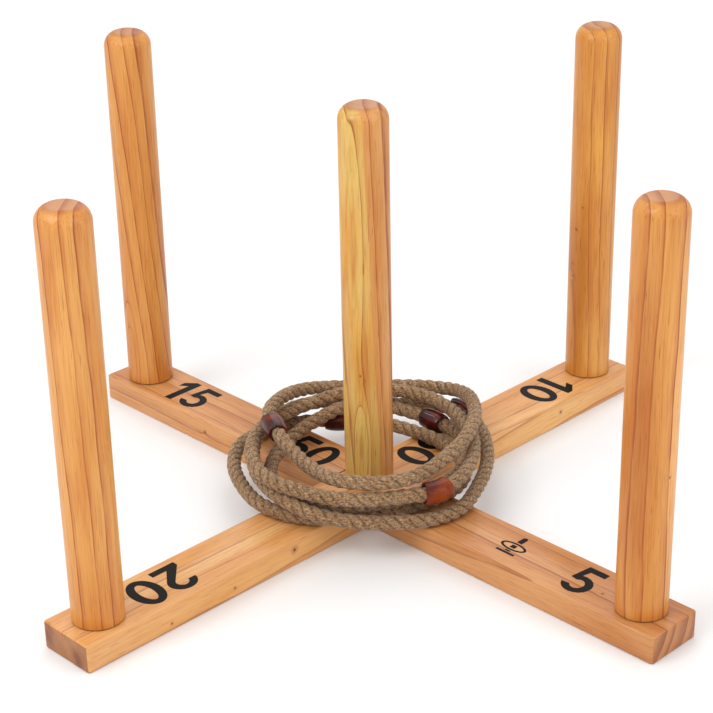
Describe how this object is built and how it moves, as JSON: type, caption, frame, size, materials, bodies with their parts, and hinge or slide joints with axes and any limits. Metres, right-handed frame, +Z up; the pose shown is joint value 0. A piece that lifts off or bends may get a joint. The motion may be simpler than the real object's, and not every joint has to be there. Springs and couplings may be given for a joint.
{
  "type": "ring toss set",
  "caption": "Wooden cross of two half-lapped bars standing five screw-in pegs, with rope rings held closed by leather sleeves laid round the centre peg.",
  "frame": {"origin": "on the ground, at the centre of the cross under the centre peg", "axes": "+Z up along the pegs, +X along the upper crossbar towards the peg marked 10, +Y along the lower crossbar towards the peg marked 15"},
  "size_m": [0.6, 0.6, 0.3323],
  "materials": {
    "bar_wood": "clear-lacquered softwood, softly glossy",
    "peg_wood": "clear-lacquered turned softwood, softly glossy",
    "zinc_steel": "zinc-plated steel",
    "brass": "plain machined brass",
    "rope": "three-strand laid natural fibre",
    "leather": "waxed red-brown leather"
  },
  "bodies": {
    "lower_crossbar": {"lower_crossbar": "bar_wood", "insert_15": "brass", "insert_5": "brass", "insert_50": "brass"},
    "upper_crossbar": {"upper_crossbar": "bar_wood", "insert_20": "brass", "insert_10": "brass"},
    "stud_20": {"stud_20": "zinc_steel"},
    "peg_20": {"peg_20": "peg_wood"},
    "stud_15": {"stud_15": "zinc_steel"},
    "peg_15": {"peg_15": "peg_wood"},
    "stud_10": {"stud_10": "zinc_steel"},
    "peg_10": {"peg_10": "peg_wood"},
    "stud_5": {"stud_5": "zinc_steel"},
    "peg_5": {"peg_5": "peg_wood"},
    "stud_50": {"stud_50": "zinc_steel"},
    "peg_50": {"peg_50": "peg_wood"},
    "ring_1": {"rope_ring_1": "rope", "leather_sleeve_1": "leather"},
    "ring_2": {"rope_ring_2": "rope", "leather_sleeve_2": "leather"},
    "ring_3": {"rope_ring_3": "rope", "leather_sleeve_3": "leather"},
    "ring_4": {"rope_ring_4": "rope", "leather_sleeve_4": "leather"},
    "ring_5": {"rope_ring_5": "rope", "leather_sleeve_5": "leather"}
  },
  "joints": [
    {"name": "cross_lift", "type": "slide", "parent": "lower_crossbar", "child": "upper_crossbar", "axis": [0, 0, 1], "range_m": [0, 0.15]},
    {"name": "peg_20_rise", "type": "slide", "parent": "upper_crossbar", "child": "stud_20", "axis": [0, 0, 1], "range_m": [0, 0.0181]},
    {"name": "peg_20_turn", "type": "hinge", "parent": "stud_20", "child": "peg_20", "pos_m": [-0.27, 0, 0], "axis": [0, 0, 1], "range_deg": [0, 5184]},
    {"name": "peg_15_rise", "type": "slide", "parent": "lower_crossbar", "child": "stud_15", "axis": [0, 0, 1], "range_m": [0, 0.0181]},
    {"name": "peg_15_turn", "type": "hinge", "parent": "stud_15", "child": "peg_15", "pos_m": [0, 0.27, 0], "axis": [0, 0, 1], "range_deg": [0, 5184]},
    {"name": "peg_10_rise", "type": "slide", "parent": "upper_crossbar", "child": "stud_10", "axis": [0, 0, 1], "range_m": [0, 0.0181]},
    {"name": "peg_10_turn", "type": "hinge", "parent": "stud_10", "child": "peg_10", "pos_m": [0.27, 0, 0], "axis": [0, 0, 1], "range_deg": [0, 5184]},
    {"name": "peg_5_rise", "type": "slide", "parent": "lower_crossbar", "child": "stud_5", "axis": [0, 0, 1], "range_m": [0, 0.0181]},
    {"name": "peg_5_turn", "type": "hinge", "parent": "stud_5", "child": "peg_5", "pos_m": [0, -0.27, 0], "axis": [0, 0, 1], "range_deg": [0, 5184]},
    {"name": "peg_50_rise", "type": "slide", "parent": "upper_crossbar", "child": "stud_50", "axis": [0, 0, 1], "range_m": [0, 0.0181]},
    {"name": "peg_50_turn", "type": "hinge", "parent": "stud_50", "child": "peg_50", "pos_m": [0, 0, 0], "axis": [0, 0, 1], "range_deg": [0, 5184]},
    {"name": "ring_1_lift", "type": "slide", "parent": "upper_crossbar", "child": "ring_1", "axis": [0, 0, 1], "range_m": [0, 0.32]},
    {"name": "ring_2_lift", "type": "slide", "parent": "ring_1", "child": "ring_2", "axis": [0, 0, 1], "range_m": [0, 0.32]},
    {"name": "ring_3_lift", "type": "slide", "parent": "ring_2", "child": "ring_3", "axis": [0, 0, 1], "range_m": [0, 0.32]},
    {"name": "ring_4_lift", "type": "slide", "parent": "ring_3", "child": "ring_4", "axis": [0, 0, 1], "range_m": [0, 0.32]},
    {"name": "ring_5_lift", "type": "slide", "parent": "ring_4", "child": "ring_5", "axis": [0, 0, 1], "range_m": [0, 0.32]}
  ],
  "couplings": [
    {"joint": "peg_20_rise", "follows": "peg_20_turn", "m_per_rad": 0.00019894},
    {"joint": "peg_15_rise", "follows": "peg_15_turn", "m_per_rad": 0.00019894},
    {"joint": "peg_10_rise", "follows": "peg_10_turn", "m_per_rad": 0.00019894},
    {"joint": "peg_5_rise", "follows": "peg_5_turn", "m_per_rad": 0.00019894},
    {"joint": "peg_50_rise", "follows": "peg_50_turn", "m_per_rad": 0.00019894}
  ]
}
